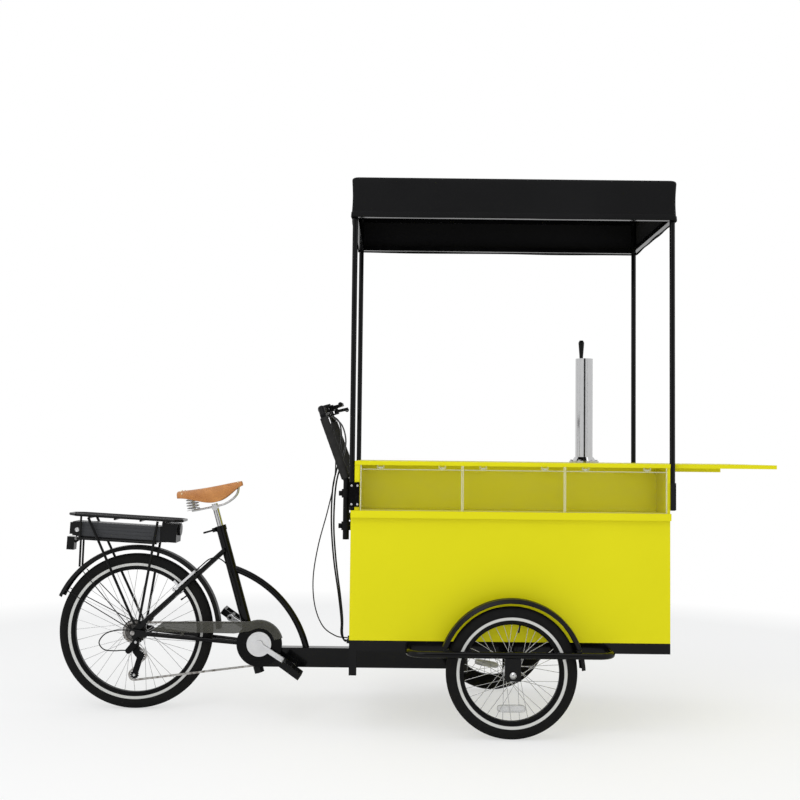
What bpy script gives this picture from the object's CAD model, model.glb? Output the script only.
"""Looks of a bicycle food cart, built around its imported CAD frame. Metres, Z up."""

import math

import bpy
from mathutils import Matrix, Vector


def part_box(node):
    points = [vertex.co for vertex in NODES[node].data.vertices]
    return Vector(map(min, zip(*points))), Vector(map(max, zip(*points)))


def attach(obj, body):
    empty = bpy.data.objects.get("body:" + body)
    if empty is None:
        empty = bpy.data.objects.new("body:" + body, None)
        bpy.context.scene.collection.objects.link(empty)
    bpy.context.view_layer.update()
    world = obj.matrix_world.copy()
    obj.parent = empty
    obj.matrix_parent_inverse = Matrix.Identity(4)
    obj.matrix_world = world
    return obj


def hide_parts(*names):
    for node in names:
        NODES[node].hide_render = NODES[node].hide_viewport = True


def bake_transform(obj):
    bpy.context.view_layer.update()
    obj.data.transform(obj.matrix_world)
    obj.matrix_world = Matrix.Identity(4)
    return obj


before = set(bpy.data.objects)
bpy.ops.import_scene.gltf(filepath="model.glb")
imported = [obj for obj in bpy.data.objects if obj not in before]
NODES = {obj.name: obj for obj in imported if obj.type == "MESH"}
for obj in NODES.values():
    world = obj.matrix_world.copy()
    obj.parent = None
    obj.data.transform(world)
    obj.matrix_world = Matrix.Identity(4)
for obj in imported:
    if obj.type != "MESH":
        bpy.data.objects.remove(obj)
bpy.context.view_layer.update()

# The part's source counts X in millimetres from the rear axle, which lies this far behind the origin
REAR_AXLE_MM = 1153.0
# Wheels: tyre radii in metres, and the front axles in the source's millimetres
REAR_RADIUS, FRONT_RADIUS = 0.330, 0.256
FRONT_AXLE_MM, FRONT_AXLE_Z_MM = 1566, 256


def at(x, y, z):
    """A point given in millimetres from the rear axle, in the frame's metres."""
    return Vector(((x - REAR_AXLE_MM) / 1000, y / 1000, z / 1000))


# Camera and light


def set_camera():
    lens = bpy.data.cameras.new("cart_view")
    lens.sensor_width = 36.0
    lens.lens = 49.88
    lens.clip_end = 200.0
    camera = bpy.data.objects.new("cart_view", lens)
    bpy.context.scene.collection.objects.link(camera)
    turn = (Matrix.Rotation(math.radians(-0.046), 4, "Z")
            @ Matrix.Rotation(math.radians(92.802), 4, "X")
            @ Matrix.Rotation(math.radians(0.642), 4, "Z"))
    camera.matrix_world = Matrix.Translation(at(1117.6, -4811.3, 1097.9)) @ turn
    bpy.context.scene.camera = camera


def add_panel_lamp(name, place, target, size, power):
    lamp = bpy.data.lights.new(name, "AREA")
    lamp.shape = "RECTANGLE"
    lamp.size, lamp.size_y = size
    lamp.energy = power
    holder = bpy.data.objects.new(name, lamp)
    bpy.context.scene.collection.objects.link(holder)
    aim = Vector(target) - Vector(place)
    holder.matrix_world = Matrix.Translation(place) @ aim.to_track_quat("-Z", "Y").to_matrix().to_4x4()
    return holder


# Shader maths: a socket in an expression, and a finish that adds the nodes


class Value:
    """One output socket. Operators on it add Math nodes to its finish."""

    def __init__(self, finish, socket):
        self.finish = finish
        self.socket = socket

    def math(self, operation, first, second=0.0):
        return self.finish.node("ShaderNodeMath", {"operation": operation}, {0: first, 1: second})

    def __add__(self, other): return self.math("ADD", self, other)
    def __radd__(self, other): return self.math("ADD", other, self)
    def __sub__(self, other): return self.math("SUBTRACT", self, other)
    def __rsub__(self, other): return self.math("SUBTRACT", other, self)
    def __mul__(self, other): return self.math("MULTIPLY", self, other)
    def __rmul__(self, other): return self.math("MULTIPLY", other, self)
    def __truediv__(self, other): return self.math("DIVIDE", self, other)
    def __pow__(self, other): return self.math("POWER", self, other)


class Finish:
    """A material whose Principled shader is fed by procedural nodes."""

    def __init__(self, name, **fixed):
        self.material = bpy.data.materials.new(name)
        self.material.use_nodes = True
        self.tree = self.material.node_tree
        self.shader = self.tree.nodes["Principled BSDF"]
        for socket, value in fixed.items():
            self.shader.inputs[socket.replace("_", " ")].default_value = value

    def node(self, kind, settings=None, sockets=None, out=0):
        made = self.tree.nodes.new(kind)
        for key, value in (settings or {}).items():
            if key == "stops":
                ramp = made.color_ramp.elements
                while len(ramp) < len(value):
                    ramp.new(0.5)
                for stop, (place, shade) in zip(ramp, value):
                    stop.position, stop.color = place, (*shade, 1.0)
            else:
                setattr(made, key, value)
        for key, value in (sockets or {}).items():
            self.feed(made.inputs[key], value)
        return Value(self, made.outputs[out])

    def feed(self, socket, value):
        if isinstance(value, Value):
            self.tree.links.new(value.socket, socket)
        elif socket.type == "RGBA" and len(value) == 3:
            socket.default_value = (*value, 1.0)
        else:
            socket.default_value = value

    def set(self, socket, value):
        self.feed(self.shader.inputs[socket], value)
        return self

    def place(self):
        return self.node("ShaderNodeTexCoord", out=3)

    def axis(self, point, index):
        return self.node("ShaderNodeSeparateXYZ", None, {0: point}, index)

    def noise(self, point, scale, detail=3.0, rough=0.5):
        return self.node("ShaderNodeTexNoise", None,
                         {"Vector": point, "Scale": scale, "Detail": detail, "Roughness": rough})

    def cells(self, point, scale, feature="F1"):
        return self.node("ShaderNodeTexVoronoi", {"feature": feature}, {"Vector": point, "Scale": scale})

    def spread(self, value, low, high, to_low=0.0, to_high=1.0):
        return self.node("ShaderNodeMapRange", {"clamp": True},
                         {0: value, 1: low, 2: high, 3: to_low, 4: to_high})

    def blend(self, share, first, second):
        return self.node("ShaderNodeMix", {"data_type": "RGBA"}, {0: share, 6: first, 7: second}, 2)

    def stretch(self, point, scale):
        return self.node("ShaderNodeVectorMath", {"operation": "MULTIPLY"}, {0: point, 1: scale})

    def shift(self, point, offset):
        return self.node("ShaderNodeVectorMath", {"operation": "SUBTRACT"}, {0: point, 1: offset})

    def bump(self, height, strength, distance):
        return self.set("Normal", self.node("ShaderNodeBump", None,
                        {"Strength": strength, "Distance": distance, "Height": height}))


# Finishes of the cart's pieces


def gloss_black_paint():
    f = Finish("gloss_black_paint", Specular_IOR_Level=0.10, Coat_Weight=0.12, Coat_Roughness=0.03)
    p = f.place()
    dust = f.spread(f.noise(p, 9.0, 4.0), 0.45, 0.8)
    f.set("Base Color", f.blend(dust * 0.5, (0.0022, 0.0022, 0.0025), (0.008, 0.008, 0.0085)))
    f.set("Roughness", 0.12 + dust * 0.16)
    return f.bump(f.noise(p, 420.0, 2.0), 0.05, 0.0006)


def black_alloy():
    f = Finish("black_alloy", Metallic=0.2, Specular_IOR_Level=0.12)
    p = f.place()
    scuff = f.spread(f.noise(f.stretch(p, (1.0, 1.0, 6.0)), 60.0, 5.0, 0.6), 0.55, 0.8)
    f.set("Base Color", f.blend(scuff * 0.6, (0.003, 0.003, 0.0034), (0.018, 0.018, 0.019)))
    f.set("Roughness", 0.34 + f.noise(p, 30.0) * 0.2)
    return f.bump(f.noise(p, 900.0, 2.0), 0.08, 0.0004)


def moulded_black():
    f = Finish("moulded_black", Specular_IOR_Level=0.12)
    p = f.place()
    f.set("Base Color", f.blend(f.noise(p, 14.0, 4.0), (0.003, 0.003, 0.0034), (0.009, 0.009, 0.0094)))
    f.set("Roughness", 0.20 + f.noise(p, 25.0, 3.0) * 0.22)
    return f.bump(f.cells(p, 1400.0), 0.10, 0.0003)


def smoked_guard():
    f = Finish("smoked_guard", Specular_IOR_Level=0.4)
    p = f.place()
    haze = f.noise(p, 20.0, 4.0)
    f.set("Base Color", f.blend(haze, (0.030, 0.030, 0.022), (0.060, 0.058, 0.044)))
    f.set("Alpha", 0.66 + haze * 0.16)
    f.set("Roughness", 0.10 + f.noise(p, 40.0) * 0.12)
    return f


def battery_shell():
    f = Finish("battery_shell", Metallic=0.2, Specular_IOR_Level=0.2)
    p = f.place()
    brushed = f.noise(f.stretch(p, (3.0, 90.0, 90.0)), 12.0, 4.0)
    low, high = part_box("battery_pack")
    x = f.axis(p, 0)
    begins = f.spread(x, low.x + 0.052, low.x + 0.053)
    panel = begins * f.spread(x, high.x - 0.012, high.x - 0.011, 1.0, 0.0)
    casing = f.blend(brushed, (0.030, 0.031, 0.034), (0.060, 0.062, 0.066))
    f.set("Base Color", f.blend(panel, (0.005, 0.005, 0.0055), casing))
    f.set("Roughness", 0.28 + brushed * 0.2)
    grooves = f.node("ShaderNodeMath", {"operation": "SINE"}, {0: f.axis(p, 2) * 380.0})
    return f.bump(f.spread(grooves, 0.75, 0.95, 1.0, 0.0) * panel + brushed * 0.2, 0.35, 0.0008)


def drive_steel(name, clean, oiled):
    f = Finish(name, Metallic=1.0)
    p = f.place()
    oil = f.spread(f.noise(p, 70.0, 5.0, 0.6), 0.4, 0.7)
    f.set("Base Color", f.blend(oil, clean, oiled))
    f.set("Roughness", 0.26 + oil * 0.3)
    return f.bump(f.noise(p, 500.0), 0.06, 0.0003)


def polished_steel():
    f = Finish("polished_steel", Metallic=1.0)
    p = f.place()
    drawn = f.noise(f.stretch(p, (60.0, 60.0, 2.0)), 18.0, 3.0)
    f.set("Base Color", f.blend(drawn, (0.40, 0.40, 0.41), (0.62, 0.62, 0.62)))
    f.set("Roughness", 0.07 + drawn * 0.09)
    return f


def satin_alloy():
    f = Finish("satin_alloy", Metallic=1.0)
    p = f.place()
    f.set("Base Color", f.blend(f.noise(p, 35.0, 4.0), (0.60, 0.60, 0.61), (0.76, 0.76, 0.77)))
    f.set("Roughness", 0.24 + f.noise(p, 80.0, 4.0) * 0.16)
    return f.bump(f.noise(p, 700.0), 0.05, 0.0003)


def tyre_rubber(name, centre, radius, outside=0):
    """Black rubber: a pale band low on the sidewall, tread blocks on the crown, fine ribs between.

    outside is the sign of Y on the side that has the band, or 0 for both sides.
    """
    f = Finish(name, Specular_IOR_Level=0.10)
    p = f.shift(f.place(), tuple(centre))
    x, y, z = (f.axis(p, k) for k in range(3))
    ring = (x * x + z * z) ** 0.5
    turn = f.node("ShaderNodeMath", {"operation": "ARCTAN2"}, {0: z, 1: x})
    band_low, band_high, fade = radius - 0.0530, radius - 0.0410, 0.0008
    band = f.spread(ring, band_low, band_low + fade) * f.spread(ring, band_high - fade, band_high, 1.0, 0.0)
    if outside:
        band = band * f.spread(y * outside, 0.0, 0.002)
    crown = f.spread(ring, radius - 0.012, radius - 0.008)
    blocks = f.node("ShaderNodeMath", {"operation": "SINE"}, {0: turn * 150.0})
    waves = f.node("ShaderNodeMath", {"operation": "SINE"}, {0: y * 900.0 + blocks})
    tread = f.spread(blocks * 0.6 + waves, -0.25, 0.1) * crown
    ribs = f.node("ShaderNodeMath", {"operation": "SINE"}, {0: ring * 4200.0}) * 0.12
    grime = f.noise(p, 45.0, 5.0)
    rubber = f.blend(grime, (0.004, 0.004, 0.004), (0.012, 0.0118, 0.0114))
    f.set("Base Color", f.blend(band, rubber, (0.62, 0.62, 0.60)))
    f.set("Roughness", 0.72 - band * 0.3 + grime * 0.1)
    return f.bump(tread + ribs * (1.0 - crown), 0.6, 0.0016)


def foam_skin():
    f = Finish("foam_skin", Specular_IOR_Level=0.12)
    p = f.place()
    pores = f.cells(p, 900.0)
    f.set("Base Color", f.blend(f.noise(p, 60.0, 4.0), (0.013, 0.013, 0.013), (0.030, 0.029, 0.028)))
    f.set("Roughness", 0.86 - pores * 0.1)
    return f.bump(pores, 0.45, 0.0006)


def tan_leather():
    f = Finish("tan_leather", Coat_Weight=0.08, Coat_Roughness=0.3)
    p = f.place()
    worn = f.spread(f.noise(p, 16.0, 5.0, 0.6), 0.35, 0.7)
    grain = f.cells(p, 480.0, "DISTANCE_TO_EDGE")
    creases = f.noise(f.stretch(p, (1.0, 2.5, 1.0)), 70.0, 6.0, 0.65)
    body = f.blend(worn, (0.40, 0.145, 0.030), (0.58, 0.245, 0.062))
    f.set("Base Color", f.blend(f.spread(grain, 0.0, 0.10, 0.35, 0.0), body, (0.17, 0.055, 0.014)))
    f.set("Roughness", 0.40 + creases * 0.25)
    return f.bump(f.spread(grain, 0.0, 0.2) + creases * 0.8, 0.25, 0.0012)


def yellow_board():
    """Lime-yellow paint rolled over board: faint stipple, tone drift, a little rubbed sheen."""
    f = Finish("yellow_board", Specular_IOR_Level=0.12, Coat_Weight=0.03, Coat_Roughness=0.2)
    p = f.place()
    drift = f.noise(p, 2.2, 3.0)
    fleck = f.spread(f.noise(p, 220.0, 3.0), 0.62, 0.8)
    paint = f.blend(drift, (0.66, 0.615, 0.0035), (0.73, 0.68, 0.006))
    f.set("Base Color", f.blend(fleck * 0.12, paint, (0.50, 0.46, 0.01)))
    f.set("Roughness", 0.36 + f.noise(p, 14.0, 4.0) * 0.18)
    return f.bump(f.noise(p, 330.0, 3.0), 0.10, 0.0006)


def clear_acrylic():
    """Clear sheet: mostly let through, with a faint veil of wiped streaks and frosted hinges."""
    f = Finish("clear_acrylic", Specular_IOR_Level=0.8)
    p = f.place()
    smear = f.spread(f.noise(f.stretch(p, (1.0, 1.0, 3.0)), 7.0, 5.0, 0.6), 0.45, 0.85)
    f.set("Base Color", f.blend(smear * 0.4, (0.62, 0.64, 0.52), (0.54, 0.55, 0.40)))
    low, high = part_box("display_lid_rear")
    over = f.spread(f.axis(p, 2), high.z - 0.0135, high.z - 0.0125)
    before = f.spread(f.axis(p, 1), low.y + 0.0100, low.y + 0.0105, 1.0, 0.0)
    f.set("Alpha", 0.010 + smear * 0.014 + over * before * 0.30)
    f.set("Roughness", 0.02 + smear * 0.06)
    return f


def sawn_edge():
    """Polished edge of a clear sheet: pale, half let through, with saw marks left in it."""
    f = Finish("sawn_edge", Specular_IOR_Level=0.7)
    p = f.place()
    marks = f.noise(f.stretch(p, (40.0, 40.0, 3.0)), 20.0, 3.0)
    f.set("Base Color", f.blend(marks, (0.70, 0.70, 0.44), (0.90, 0.90, 0.74)))
    f.set("Alpha", 0.24 + marks * 0.28)
    f.set("Roughness", 0.12 + marks * 0.2)
    return f


def canopy_cloth():
    """Black woven cloth: crossing threads, a slight fade and a matte face."""
    f = Finish("canopy_cloth", Specular_IOR_Level=0.06, Sheen_Weight=0.02, Sheen_Roughness=0.5)
    p = f.place()
    x, y, z = (f.axis(p, k) for k in range(3))
    along = f.node("ShaderNodeMath", {"operation": "SINE"}, {0: (x + y) * 4200.0})
    across = f.node("ShaderNodeMath", {"operation": "SINE"}, {0: (z + y - x) * 4200.0})
    fade = f.noise(p, 3.0, 4.0)
    f.set("Base Color", f.blend(fade, (0.0055, 0.0055, 0.0058), (0.0105, 0.0105, 0.0110)))
    f.set("Roughness", 0.80 + f.noise(p, 50.0) * 0.12)
    return f.bump(along * across, 0.20, 0.0006)


def rivet_brass():
    f = Finish("rivet_brass", Metallic=1.0)
    p = f.place()
    f.set("Base Color", f.blend(f.noise(p, 300.0), (0.62, 0.45, 0.24), (0.74, 0.60, 0.40)))
    f.set("Roughness", 0.25 + f.noise(p, 500.0) * 0.2)
    return f


def reflector_lens():
    f = Finish("reflector_lens", Coat_Weight=0.6, Coat_Roughness=0.05)
    p = f.place()
    prism = f.cells(p, 380.0, "DISTANCE_TO_EDGE")
    f.set("Base Color", f.blend(f.spread(prism, 0.0, 0.3), (0.42, 0.42, 0.42), (0.78, 0.78, 0.77)))
    f.set("Roughness", 0.12 + f.noise(p, 200.0) * 0.1)
    return f.bump(prism, 0.4, 0.0008)


# Mesh makers


def add_piece(name, points, faces, body, finish, slot, smooth=True):
    mesh = bpy.data.meshes.new(name)
    mesh.from_pydata([tuple(p) for p in points], [], faces)
    mesh.validate()
    mesh.update()
    piece = bpy.data.objects.new(name, mesh)
    bpy.context.scene.collection.objects.link(piece)
    mesh.materials.append(finish.material)
    for face in mesh.polygons:
        face.use_smooth = smooth
    if body:
        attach(piece, body)
    return piece


def merge(parts):
    """Several (points, faces) lists as one."""
    points, faces = [], []
    for more_points, more_faces in parts:
        base = len(points)
        points += more_points
        faces += [[base + k for k in face] for face in more_faces]
    return points, faces


def ring_faces(rings, sides):
    """Quads between neighbouring rings of points."""
    faces = []
    for k in range(rings - 1):
        for s in range(sides):
            a, b = k * sides + s, k * sides + (s + 1) % sides
            faces.append([a, b, b + sides, a + sides])
    return faces


def end_faces(rings, sides):
    """A cap on the first ring and one on the last."""
    return [list(range(sides))[::-1], [(rings - 1) * sides + k for k in range(sides)]]


def ring(centre, u, v, radius, sides):
    angles = (2 * math.pi * k / sides for k in range(sides))
    return [centre + radius * (math.cos(a) * u + math.sin(a) * v) for a in angles]


def tube(path, radius, sides=14):
    """A round tube along a path."""
    path = [Vector(p) for p in path]
    last = len(path) - 1
    tangents = [(path[min(k + 1, last)] - path[max(k - 1, 0)]).normalized() for k in range(last + 1)]
    side = tangents[0].orthogonal().normalized()
    points = []
    for centre, along in zip(path, tangents):
        side = (side - along * side.dot(along)).normalized()
        points += ring(centre, side, along.cross(side), radius, sides)
    return points, ring_faces(len(path), sides) + end_faces(len(path), sides)


def smooth_path(points, steps):
    """The cubic through the points that the part's source uses, with steps to a span."""
    out = []
    for i in range(len(points) - 1):
        a, b, c, d = (points[min(max(i + k, 0), len(points) - 1)] for k in (-1, 0, 1, 2))
        for s in range(steps):
            t = s / steps
            out.append(0.5 * (2 * b + (c - a) * t + (2 * a - 5 * b + 4 * c - d) * t * t
                              + (3 * b - a - 3 * c + d) * t ** 3))
    return out + [points[-1]]


def turned(profile, centre, along, sides=24):
    """A solid of revolution: profile is (distance along the axis, radius) from end to end."""
    along = Vector(along).normalized()
    u = along.orthogonal().normalized()
    v = along.cross(u)
    points = []
    for reach, radius in profile:
        points += ring(Vector(centre) + along * reach, u, v, radius, sides)
    return points, ring_faces(len(profile), sides) + end_faces(len(profile), sides)


# Cables


# Routes in the source's millimetres
GEAR_CABLE = [(91.8, -79, 328), (60, -86, 334), (0, -95, 344), (-60, -98, 344), (-110, -96, 328),
              (-136, -92, 292), (-116, -88, 262), (-74, -85, 256), (-44, -84, 258), (-25.4, -84, 258)]
BRAKE_CABLE = [(448, -24, 440), (432, -24, 500), (414, -26, 560), (398, -36, 600), (380, -50, 630),
               (350, -58, 648), (316, -58, 642), (282, -53, 614), (257.2, -50.5, 592.4)]
LOOP_CABLE = [(826, -150, 1258), (846, -168, 1180), (856, -185, 1080), (852, -192, 985), (826, -192, 860),
              (790, -192, 720), (770, -190, 585), (778, -187, 470), (812, -184, 385), (865, -181, 345),
              (905, -180, 338), (915, -180, 338)]
LEAD_CABLE = [(826, 20, 1262), (862, -50, 1232), (878, -170, 1160), (870, -245, 1060), (850, -255, 960),
              (846, -255, 815), (858, -255, 665), (880, -255, 520), (892, -255, 420), (892, -255, 370),
              (902, -255, 344), (915, -255, 338)]
PAIR_CABLE = [(826, 150, 1258), (868, 60, 1222), (894, -110, 1150), (886, -240, 1070), (864, -277, 970),
              (857, -275, 815), (868, -275, 665), (888, -275, 520), (898, -275, 430), (898, -275, 375),
              (904, -275, 346), (915, -275, 338)]


def add_cable(name, route, diameter, body, node, finish, bar=None):
    """A cable along its route. One that hangs from the sliding bar bends between that and its own body."""
    path = smooth_path([at(*p) for p in route], 6)
    piece = add_piece(name, *tube(path, diameter / 2, 12), None if bar else body, finish, "black_plastic")
    if bar:
        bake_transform(piece)
    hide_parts(node)
    length = sum((b - a).length for a, b in zip(path, path[1:]))


def add_cables(finish):
    add_cable("gear_cable", GEAR_CABLE, 0.005, "bike_frame", "frame_cables", finish)
    add_cable("brake_cable", BRAKE_CABLE, 0.005, "bike_frame", "frame_cables", finish)
    add_cable("loop_cable", LOOP_CABLE, 0.005, "cart", "cart_cables", finish, "handlebar")
    add_cable("lead_cable", LEAD_CABLE, 0.007, "cart", "cart_cables", finish, "handlebar")
    add_cable("pair_cable", PAIR_CABLE, 0.007, "cart", "cart_cables", finish, "handlebar")


# Saddle


SADDLE_PITCH = math.radians(11)
SADDLE_LENGTH, SADDLE_NOSE, SADDLE_HALF, NOSE_HALF, SKIN = 278.0, 135.0, 95.0, 19.0, 5.0
# Rivets as shares of the length and of the half width
RIVETS = [(0.05, 0.0), (0.06, -0.42), (0.06, 0.42), (0.09, -0.72), (0.09, 0.72), (0.94, -0.5), (0.94, 0.5)]
RIVET_PROFILE = [(-0.001, 0.0052), (0.0006, 0.0052), (0.0014, 0.0042), (0.0019, 0.0024), (0.002, 0.0006)]
RAIL = [(-92, 46, -93), (-66, 33, -93.5), (-40, 24, -93), (0, 20, -92), (40, 17, -90), (78, 13, -76),
        (104, 10, -56), (116, 7, -28), (118, 6, -11)]
REAR_STRUT = [(-92, 46, -33), (-103, 54, -25), (-112, 60, -15)]
COIL_AT, COIL_LOW, COIL_RISE, COIL_TURNS, TURN_STEPS = (-92, 46), -85.5, 46.0, 4, 28


def on_saddle(x, y, z):
    """A point in the saddle's own tilted millimetres, in the frame's metres."""
    c, s = math.cos(SADDLE_PITCH), math.sin(SADDLE_PITCH)
    return at(309 + x * c - z * s, y, 954 + x * s + z * c)


def saddle_point(t, a, inset):
    """A point of the hide: t runs from the cantle to the nose, a from edge to edge."""
    flare = math.sqrt(1 - (1 - t / 0.14) ** 2 * 0.55) if t < 0.14 else 1.0
    half = NOSE_HALF + (SADDLE_HALF - NOSE_HALF) * (1 - t) ** 1.5 * flare - inset
    drop = 30 - 10 * t + 44 * max(0.0, math.sin(math.pi * t ** 1.2)) ** 1.5
    rise = -6 * math.sin(math.pi * t) - 5 * t ** 6
    x = SADDLE_NOSE - SADDLE_LENGTH * (1 - t) + inset * (1 - 2 * t)
    return on_saddle(x, half * math.sin(math.pi / 2 * a), rise - inset - (drop - inset) * abs(a) ** 3)


def add_saddle_hide(leather, brass):
    rows, columns = 56, 40
    wide = columns + 1
    points = [saddle_point(i / rows, -1 + 2 * k / columns, inset)
              for inset in (0.0, SKIN) for i in range(rows + 1) for k in range(wide)]
    under = (rows + 1) * wide
    faces = []
    for i in range(rows):
        for k in range(columns):
            a = i * wide + k
            faces.append([a, a + wide, a + wide + 1, a + 1])
            faces.append([under + a, under + a + 1, under + a + wide + 1, under + a + wide])
    for i in range(rows):
        a, b = i * wide, i * wide + columns
        faces.append([a, under + a, under + a + wide, a + wide])
        faces.append([b, b + wide, under + b + wide, under + b])
    for k in range(columns):
        a, b = k, rows * wide + k
        faces.append([a, a + 1, under + a + 1, under + a])
        faces.append([b, under + b, under + b + 1, b + 1])
    hide = add_piece("saddle_hide", points, faces, "saddle", leather, "saddle_leather")
    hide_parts("saddle_leather")
    smooth = hide.modifiers.new("rounded_edge", "SUBSURF")
    smooth.levels = smooth.render_levels = 1
    studs = []
    for t, a in RIVETS:
        seat = saddle_point(t, a, 0.0)
        lift = (seat - saddle_point(t, a, SKIN)).normalized()
        studs.append(turned(RIVET_PROFILE, seat, lift, 18))
    add_piece("saddle_rivets", *merge(studs), "saddle", brass, "bright_steel")


def saddle_coil(side):
    """The line of one spring, closing in at both ends."""
    steps = COIL_TURNS * TURN_STEPS
    line = []
    for k in range(steps + 1):
        a = 2 * math.pi * k / TURN_STEPS
        ease = min(1.0, k / TURN_STEPS, (steps - k) / TURN_STEPS)
        size = 15.0 + 2.0 * ease
        line.append(on_saddle(COIL_AT[0] + size * math.cos(a), side * COIL_AT[1] + size * math.sin(a),
                              COIL_LOW + COIL_RISE * k / steps))
    return line


def add_saddle_frame(steel):
    parts = []
    up = on_saddle(0, 0, 1) - on_saddle(0, 0, 0)
    for side in (-1, 1):
        rail = [on_saddle(x, side * y, z) for x, y, z in RAIL]
        parts.append(tube(smooth_path(rail, 5), 0.004))
        parts.append(tube(saddle_coil(side), 0.0025, 10))
        for z in (-90.0, -37.6):
            parts.append(turned([(0.0, 0.018), (0.0006, 0.021), (0.0020, 0.021), (0.0026, 0.018)],
                                on_saddle(COIL_AT[0], side * COIL_AT[1], z), up, 28))
        parts.append(tube([on_saddle(x, side * y, z) for x, y, z in REAR_STRUT], 0.0035))
    parts.append(tube(smooth_path([on_saddle(COIL_AT[0], y, -32) for y in (-52, -20, 20, 52)], 4), 0.0032))
    made = add_piece("saddle_springs", *merge(parts), "saddle", steel, "bright_steel")
    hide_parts("saddle_frame")


# Foam and rubber sleeves on the bar


FOAM_R, GRIP_R, GROOVE_R, MOUTH_R = 0.0170, 0.0160, 0.0152, 0.0132
GRIP_RIBS = 16


def foam_profile(reach):
    """A foam sleeve: rounded mouths and a slightly uneven skin."""
    skin = [(reach * k / 24, FOAM_R + 0.00025 * math.sin(k * 2.1)) for k in range(1, 24)]
    return ([(0.0, MOUTH_R), (0.0006, GRIP_R), (0.004, FOAM_R)] + skin
            + [(reach - 0.004, FOAM_R), (reach - 0.0006, GRIP_R), (reach, MOUTH_R)])


def grip_profile(reach):
    """A rubber grip with a row of ribs."""
    profile = [(0.0, MOUTH_R), (0.0005, 0.0158), (0.003, GRIP_R)]
    for k in range(GRIP_RIBS):
        base = 0.008 + k * (reach - 0.016) / GRIP_RIBS
        profile += [(base, GROOVE_R), (base + 0.001, GRIP_R), (base + 0.0042, GRIP_R),
                    (base + 0.0052, GROOVE_R)]
    return profile + [(reach - 0.003, GRIP_R), (reach - 0.0005, 0.0158), (reach, MOUTH_R)]


def add_sleeves(foam):
    parts = []
    for side in (-1, 1):
        low, high = at(910, side * 345, 990), at(812, side * 345, 1251)
        start, end = low.lerp(high, 0.03), low.lerp(high, 0.97)
        parts.append(turned(foam_profile((end - start).length), start, end - start, 36))
        near, far = at(803, side * 202, 1277), at(803, side * 300, 1277)
        parts.append(turned(grip_profile((far - near).length), near, far - near, 36))
    made = add_piece("bar_sleeves", *merge(parts), "handlebar", foam, "foam")
    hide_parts("handlebar_grips")


# Canopy


CANOPY_LOW, CANOPY_TOP = 2.049, 2.212
CANOPY_HALF_X, CANOPY_HALF_Y, CANOPY_MIDDLE_MM = 0.655, 0.400, 1573.5
CANOPY_EDGE, CANOPY_CORNER, CANOPY_SKIRT = 0.012, 0.02, 0.163


def rounded_outline(half_x, half_y, corner, per_side=26, per_corner=6):
    """Points round a rectangle with rounded corners, counter-clockwise from the rear right corner."""
    corner = min(corner, half_x * 0.98, half_y * 0.98)
    out = []
    corners = [(-1, -1, 180), (1, -1, 270), (1, 1, 0), (-1, 1, 90)]
    for index, (sx, sy, begin) in enumerate(corners):
        centre = Vector((sx * (half_x - corner), sy * (half_y - corner)))
        arc = [centre + corner * Vector((math.cos(math.radians(begin + 90 * k / per_corner)),
                                         math.sin(math.radians(begin + 90 * k / per_corner))))
               for k in range(per_corner + 1)]
        nx, ny, after = corners[(index + 1) % 4]
        target = Vector((nx * (half_x - corner), ny * (half_y - corner))) + corner * Vector(
            (math.cos(math.radians(after)), math.sin(math.radians(after))))
        out += arc + [arc[-1].lerp(target, k / per_side) for k in range(1, per_side)]
    return out


def skirt_point(flat, k, height, proud=0.0):
    """A point of the hanging skirt: pulled in halfway down and rippling towards the hem."""
    shoulder = CANOPY_TOP - CANOPY_EDGE
    hang = (shoulder - height) / (shoulder - CANOPY_LOW)
    ripple = math.sin(k * 0.83) + 0.6 * math.sin(k * 0.31 + 1.0)
    pull = 0.0014 * hang * ripple - 0.003 * math.sin(math.pi * hang) + proud
    return (flat.x * (1 + pull / CANOPY_HALF_X), flat.y * (1 + pull / CANOPY_HALF_Y),
            height + 0.0012 * hang * math.sin(k * 0.47))


def roof_point(flat, inset, height):
    """A point of the roof, which sags a little between the rails under it."""
    dip = math.sin(math.pi * min(1.0, (inset - CANOPY_EDGE) / 0.38)) ** 0.7
    bays = 0.5 - 0.5 * math.cos(6 * math.pi * (flat.x / CANOPY_HALF_X + 1) / 2)
    return flat.x, flat.y, height - 0.006 * dip * (0.4 + 0.6 * bays)


def canopy_levels():
    """(inset from the outline, height) of each ring of cloth, from the hem to the middle of the roof."""
    shoulder = CANOPY_TOP - CANOPY_EDGE
    levels = [(0.0, CANOPY_LOW + (shoulder - CANOPY_LOW) * k / 14) for k in range(15)]
    for k in range(1, 7):
        a = math.radians(90 * k / 6)
        levels.append((CANOPY_EDGE * (1 - math.cos(a)), shoulder + CANOPY_EDGE * math.sin(a)))
    return levels + [(CANOPY_EDGE + (0.396 - CANOPY_EDGE) * k / 21, CANOPY_TOP) for k in range(1, 22)]


def thicken(piece, name, thickness):
    solid = piece.modifiers.new(name, "SOLIDIFY")
    solid.thickness = thickness
    solid.offset = -1.0


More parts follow.
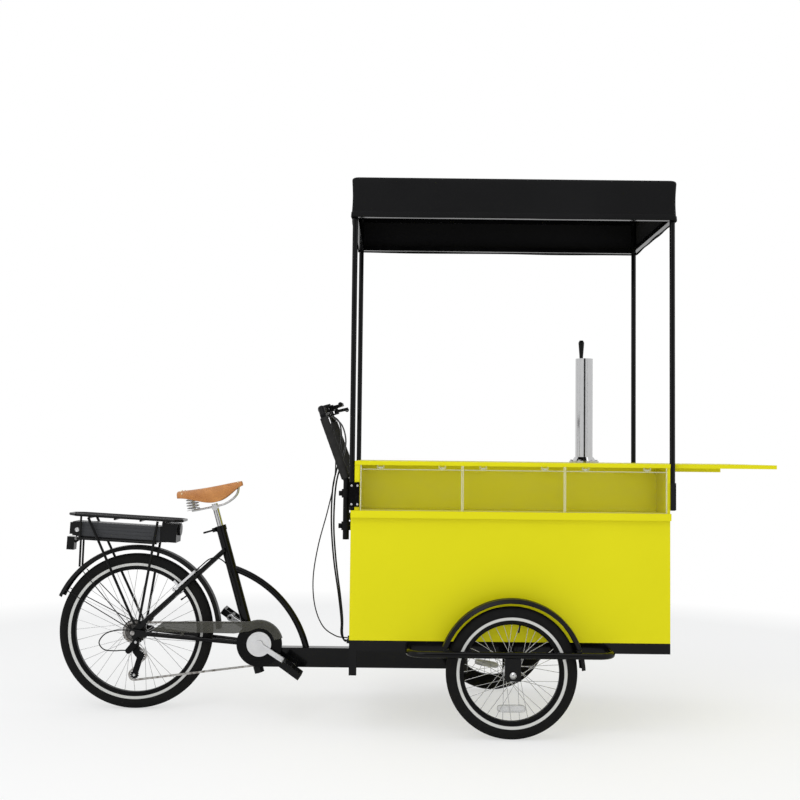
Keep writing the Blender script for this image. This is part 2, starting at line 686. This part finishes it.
def add_canopy(cloth):
    middle = at(CANOPY_MIDDLE_MM, 0, 0)
    middle.z = 0.0
    levels = canopy_levels()
    points = []
    for inset, height in levels:
        corner = max(CANOPY_CORNER - inset * 0.03, 0.004)
        outline = rounded_outline(CANOPY_HALF_X - inset, CANOPY_HALF_Y - inset, corner)
        for k, flat in enumerate(outline):
            point = (flat.x, flat.y, height)
            if inset > CANOPY_EDGE:
                point = roof_point(flat, inset, height)
            elif height < CANOPY_TOP - CANOPY_EDGE:
                point = skirt_point(flat, k, height)
            points.append(middle + Vector(point))
    count = len(points) // len(levels)
    faces = ring_faces(len(levels), count) + end_faces(len(levels), count)[1:]
    cover = add_piece("canopy_sheet", points, faces, "cart", cloth, "canopy_fabric")
    thicken(cover, "cloth_thickness", 0.0012)
    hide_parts("canopy_cover")
    band = [(0.0016, CANOPY_LOW + 0.0005), (0.0022, CANOPY_LOW + 0.004), (0.0022, CANOPY_LOW + 0.020),
            (0.0006, CANOPY_LOW + 0.0225)]
    outline = rounded_outline(CANOPY_HALF_X, CANOPY_HALF_Y, CANOPY_CORNER)
    points = [middle + Vector(skirt_point(flat, k, height, proud))
              for proud, height in band for k, flat in enumerate(outline)]
    hem = add_piece("canopy_hem", points, ring_faces(len(band), count), "cart", cloth, "canopy_fabric")
    thicken(hem, "hem_thickness", 0.001)


# Display: bright edges of the clear sheets


SHEET = 0.004


def slim_bar(low, high):
    """A long bar with its long edges taken off, from one corner to the other."""
    size = high - low
    long_axis = max(range(3), key=lambda k: size[k])
    u_axis, v_axis = (k for k in range(3) if k != long_axis)
    ease = 0.25 * min(size[u_axis], size[v_axis])
    wide, deep = size[u_axis], size[v_axis]
    outline = [(0, ease), (ease, 0), (wide - ease, 0), (wide, ease),
               (wide, deep - ease), (wide - ease, deep), (ease, deep), (0, deep - ease)]
    points = []
    for reach in (0.0, size[long_axis]):
        for u, v in outline:
            point = Vector(low)
            point[long_axis] += reach
            point[u_axis] += u
            point[v_axis] += v
            points.append(point)
    return points, ring_faces(2, len(outline)) + end_faces(2, len(outline))


def add_sheet_edges(edge):
    """Edge strips round each flap, moving with it, and up the front of the fixed side sheets."""
    rim, proud, barrel_r, below_barrel = 0.0010, 0.0003, 0.0045, 0.0053
    fixed = []
    case_low, case_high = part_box("display_case")
    for flap in ("rear", "middle", "front"):
        low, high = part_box("display_lid_" + flap)
        middle = (low.y + high.y) / 2
        near, far = middle - SHEET / 2 - proud, middle + SHEET / 2 + proud
        top = high.z - barrel_r - below_barrel
        parts = [slim_bar(Vector((low.x - proud, near, low.z)), Vector((low.x + rim, far, top))),
                 slim_bar(Vector((high.x - rim, near, low.z)), Vector((high.x + proud, far, top))),
                 slim_bar(Vector((low.x, near, low.z - proud)), Vector((high.x, far, low.z + rim))),
                 slim_bar(Vector((low.x, near, top - rim)), Vector((high.x, far, top + proud)))]
        add_piece("flap_edges_" + flap, *merge(parts), "lid_" + flap, edge, "clear_acrylic", smooth=False)
        front = middle + 0.006
        for x in (low.x - 0.001, high.x + 0.001 - SHEET):
            fixed.append(slim_bar(Vector((x - proud, front - proud, case_low.z)),
                                  Vector((x + SHEET + proud, front + rim, case_high.z))))
    add_piece("side_sheet_edges", *merge(fixed), "cart", edge, "clear_acrylic", smooth=False)


# Battery lock and charging port


def add_battery_lock(steel, cap):
    low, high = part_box("battery_pack")
    x, outward = low.x + 0.034, (0, -1, 0)
    lock_profile = [(-0.001, 0.0095), (0.0012, 0.0095), (0.0018, 0.0088), (0.0018, 0.0062),
                    (0.0010, 0.0058), (0.0010, 0.0016), (0.0016, 0.0012)]
    port_profile = [(-0.001, 0.0052), (0.0010, 0.0052), (0.0016, 0.0044), (0.0018, 0.0010)]
    lock = turned(lock_profile, (x, low.y, high.z - 0.036), outward, 28)
    port = turned(port_profile, (x, low.y, high.z - 0.060), outward, 24)
    add_piece("battery_lock", *lock, "battery", steel, "bright_steel")
    add_piece("charging_port", *port, "battery", cap, "black_plastic")


# Wheel trim: valves, spoke reflectors and axle nuts


# From the tread to the inside of the rim, and on from there to the middle of a reflector
RIM_REACH, LENS_REACH = 0.070, 0.048
VALVE_PROFILE = [(0.0, 0.0042), (0.002, 0.0042), (0.004, 0.0033), (0.020, 0.0030), (0.021, 0.0039),
                 (0.030, 0.0039), (0.031, 0.003), (0.0315, 0.001)]
LENS_HALF, LENS_HALF_H, LENS_SIDES = 0.055, 0.014, 32
LENS_STEPS = [(-0.009, 0.90), (-0.0075, 1.0), (0.0075, 1.0), (0.009, 0.90)]


def lens_outline():
    """A rounded oblong, as (along, out) from its middle."""
    outline = []
    for k in range(LENS_SIDES):
        t = 2 * math.pi * k / LENS_SIDES
        u = math.copysign(abs(math.cos(t)) ** 0.5, math.cos(t)) * LENS_HALF
        v = math.copysign(abs(math.sin(t)) ** 0.5, math.sin(t)) * LENS_HALF_H
        outline.append((u, v))
    return outline


def wheel_direction(angle):
    a = math.radians(angle)
    return Vector((math.cos(a), 0, math.sin(a)))


def add_wheel_trim(wheel, centre, radius, valve_angle, lens_angle, rubber, lens):
    """A valve and, where a lens finish is given, a reflector between the spokes."""
    rim_inner = radius - RIM_REACH
    out = wheel_direction(valve_angle)
    valve = turned(VALVE_PROFILE, Vector(centre) + out * rim_inner, -out, 16)
    add_piece(wheel + "_valve", *valve, wheel, rubber, "black_plastic")
    if lens is None:
        return
    out, along = wheel_direction(lens_angle), wheel_direction(lens_angle + 90)
    middle = Vector(centre) + out * (rim_inner - LENS_REACH)
    points = [middle + along * u * size + out * v * size + Vector((0, depth, 0))
              for depth, size in LENS_STEPS for u, v in lens_outline()]
    faces = ring_faces(len(LENS_STEPS), LENS_SIDES) + end_faces(len(LENS_STEPS), LENS_SIDES)
    add_piece(wheel + "_reflector", points, faces, wheel, lens, "clear_acrylic")


def add_axle_caps(steel):
    """Domed nuts on the outer ends of the two front axles."""
    profile = [(0.0002, 0.0128), (0.002, 0.0136), (0.0105, 0.0136), (0.0115, 0.0118), (0.0135, 0.0104),
               (0.0165, 0.0080), (0.0180, 0.0045), (0.0185, 0.0010)]
    parts = [turned(profile, at(FRONT_AXLE_MM, side * 516, FRONT_AXLE_Z_MM), (0, side, 0), 24)
             for side in (-1, 1)]
    add_piece("axle_caps", *merge(parts), "cart", steel, "bright_steel")


def add_bolt_heads(steel):
    """Domed bolt heads on the rear canopy brackets and the derailleur."""
    dome = [(-0.0010, 0.0046), (0.0008, 0.0046), (0.0016, 0.0040), (0.0022, 0.0028), (0.0024, 0.0008)]
    heads = [turned(dome, at(x, side * 391, z), (0, side, 0), 20)
             for side in (-1, 1) for x in (932.8, 956) for z in (897, 971)]
    add_piece("bracket_bolts", *merge(heads), "cart", steel, "bright_steel")
    socket = [(-0.0010, 0.0058), (0.0018, 0.0058), (0.0026, 0.0050), (0.0026, 0.0028), (0.0012, 0.0026),
              (0.0012, 0.0006)]
    cage, hanger = at(7, -60.2, 151), at(18, 0, 294)
    hanger.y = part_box("derailleur")[0].y
    heads = [turned(socket, place, (0, -1, 0), 24) for place in (cage, hanger)]
    add_piece("derailleur_bolts", *merge(heads), "bike_frame", steel, "bright_steel")


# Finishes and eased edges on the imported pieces


def dress(names, finish):
    for name in names:
        node = NODES[name]
        node.data.materials.clear()
        node.data.materials.append(finish.material)


def soften_edges(names, width):
    for name in names:
        bevel = NODES[name].modifiers.new("eased_edges", "BEVEL")
        bevel.width = width
        bevel.segments = 2
        bevel.limit_method = "ANGLE"
        bevel.angle_limit = math.radians(50)
        bevel.harden_normals = False


# Studio


# The least share of white that the camera sees in the floor, which puts no light on the cart
PALE_TO_CAMERA = 0.55


def add_stage_sheet(name, corners, finish):
    """One flat sheet of the studio."""
    mesh = bpy.data.meshes.new(name)
    mesh.from_pydata(corners, [], [[0, 1, 2, 3]])
    mesh.materials.append(finish.material)
    sheet = bpy.data.objects.new(name, mesh)
    bpy.context.scene.collection.objects.link(sheet)
    return sheet


def add_dark_card():
    """A dark card behind the camera. Only reflections see it, which gives bright metal its dark core."""
    f = Finish("card_cloth", Roughness=1.0)
    weave = f.noise(f.place(), 400.0)
    f.set("Base Color", f.blend(weave, (0.015, 0.015, 0.015), (0.025, 0.025, 0.025)))
    left, right, back, bottom, top = -1.4, 2.2, -9.0, 0.3, 5.5
    card = add_stage_sheet("dark_card", [(left, back, bottom), (right, back, bottom), (right, back, top),
                                         (left, back, top)], f)
    card.visible_camera = card.visible_diffuse = card.visible_shadow = False


def add_floor():
    """A pale floor that keeps the shadow near the cart and fades to white away from it."""
    f = Finish("studio_floor", Roughness=0.9)
    p = f.place()
    x, y = f.axis(p, 0), f.axis(p, 1)
    far = f.spread((x * x + y * y) ** 0.5, 2.2, 4.2)
    white = far.math("MAXIMUM", far, PALE_TO_CAMERA * f.node("ShaderNodeLightPath"))
    f.set("Base Color", f.blend(f.noise(p, 0.8), (0.93, 0.93, 0.93), (0.95, 0.95, 0.95)))
    glow = f.tree.nodes.new("ShaderNodeEmission")
    mix = f.tree.nodes.new("ShaderNodeMixShader")
    f.tree.links.new(white.socket, mix.inputs[0])
    f.tree.links.new(f.shader.outputs[0], mix.inputs[1])
    f.tree.links.new(glow.outputs[0], mix.inputs[2])
    f.tree.links.new(mix.outputs[0], f.tree.nodes["Material Output"].inputs[0])
    reach = 60.0
    corners = [(-reach, -reach, 0), (reach, -reach, 0), (reach, reach, 0), (-reach, reach, 0)]
    add_stage_sheet("studio_floor", corners, f)


def set_world():
    """White to the camera and in reflections, softer as light on the cart."""
    world = bpy.data.worlds.new("studio_world")
    world.use_nodes = True
    bpy.context.scene.world = world
    tree = world.node_tree
    backdrop = tree.nodes["Background"]
    backdrop.inputs[0].default_value = (1, 1, 1, 1)
    backdrop.inputs[1].default_value = 1.0
    soft = tree.nodes.new("ShaderNodeBackground")
    soft.inputs[0].default_value = (0.97, 0.985, 1.0, 1)
    soft.inputs[1].default_value = 0.66
    rays = tree.nodes.new("ShaderNodeLightPath")
    seen = rays.outputs["Is Camera Ray"]
    for kind in ("Is Glossy Ray", "Is Transmission Ray"):
        either = tree.nodes.new("ShaderNodeMath")
        either.operation = "MAXIMUM"
        tree.links.new(seen, either.inputs[0])
        tree.links.new(rays.outputs[kind], either.inputs[1])
        seen = either.outputs[0]
    pick = tree.nodes.new("ShaderNodeMixShader")
    tree.links.new(seen, pick.inputs[0])
    tree.links.new(soft.outputs[0], pick.inputs[1])
    tree.links.new(backdrop.outputs[0], pick.inputs[2])
    tree.links.new(pick.outputs[0], tree.nodes["World Output"].inputs[0])


def build_stage():
    add_floor()
    set_world()
    add_dark_card()
    add_panel_lamp("key_panel", (-1.6, -4.2, 4.6), (0.2, 0.0, 0.8), (3.5, 2.5), 60.0)
    add_panel_lamp("top_panel", (0.4, -0.6, 5.2), (0.4, 0.0, 0.0), (5.0, 3.5), 62.0)
    front = add_panel_lamp("front_panel", (0.3, -5.6, 1.5), (0.3, 0.0, 0.9), (5.0, 2.4), 48.0)
    front.visible_glossy = False
    bpy.context.scene.view_settings.view_transform = "Standard"
    # The clear bays stand one behind another, so a ray meets many sheets
    bpy.context.scene.cycles.transparent_max_bounces = 24


# Assembly


def build_cart():
    paint, alloy_black, moulded = gloss_black_paint(), black_alloy(), moulded_black()
    steel = drive_steel("drive_steel", (0.44, 0.43, 0.42), (0.14, 0.12, 0.10))
    dark_steel = drive_steel("dark_steel", (0.14, 0.135, 0.13), (0.035, 0.032, 0.03))
    bright, satin = polished_steel(), satin_alloy()
    board, acrylic, foam = yellow_board(), clear_acrylic(), foam_skin()
    dress(["main_frame", "rear_stays", "rear_rack", "base_frame", "wheel_guards", "canopy_frame"], paint)
    dress(["derailleur", "seat_clamp_lever", "rear_rim", "right_rim", "left_rim", "chainring", "handlebar",
           "handlebar_clamps", "brake_lever_right", "brake_lever_left"], alloy_black)
    dress(["battery_cradle", "guide_pulley", "tension_pulley", "pedal_right", "pedal_left",
           "handlebar_controls", "gear_shifter", "tap_lever", "rear_mudguard", "front_mudguards"], moulded)
    dress(["chain_guard"], smoked_guard())
    dress(["battery_pack"], battery_shell())
    dress(["rear_axle", "chain", "shelf_hinges"], steel)
    dress(["freewheel"], dark_steel)
    dress(["seat_post", "tap_column", "rear_spokes", "right_spokes", "left_spokes"], bright)
    dress(["brake_arm_right", "brake_arm_left", "rear_hub", "right_hub", "left_hub", "crankset"], satin)
    dress(["cabinet", "cabinet_door", "counter_top", "front_shelf"], board)
    dress(["display_case", "display_lid_rear", "display_lid_middle", "display_lid_front"], acrylic)
    rear = at(0, 0, 330)
    right, left = (at(FRONT_AXLE_MM, y, FRONT_AXLE_Z_MM) for y in (-460, 460))
    dress(["rear_tyre"], tyre_rubber("rear_tyre_rubber", rear, REAR_RADIUS))
    dress(["right_tyre"], tyre_rubber("right_tyre_rubber", right, FRONT_RADIUS, -1.0))
    dress(["left_tyre"], tyre_rubber("left_tyre_rubber", left, FRONT_RADIUS, 1.0))
    soften_edges(["cabinet_door", "counter_top", "front_shelf"], 0.0016)
    add_cables(moulded)
    add_saddle_hide(tan_leather(), rivet_brass())
    add_saddle_frame(bright)
    add_sleeves(foam)
    add_canopy(canopy_cloth())
    add_sheet_edges(sawn_edge())
    add_battery_lock(bright, moulded)
    lens = reflector_lens()
    add_wheel_trim("right_wheel", right, FRONT_RADIUS, 80, -90, moulded, lens)
    add_wheel_trim("left_wheel", left, FRONT_RADIUS, 60, -100, moulded, lens)
    add_wheel_trim("rear_wheel", rear, REAR_RADIUS, 35, 0, moulded, None)
    add_axle_caps(bright)
    add_bolt_heads(bright)


set_camera()
build_cart()
build_stage()
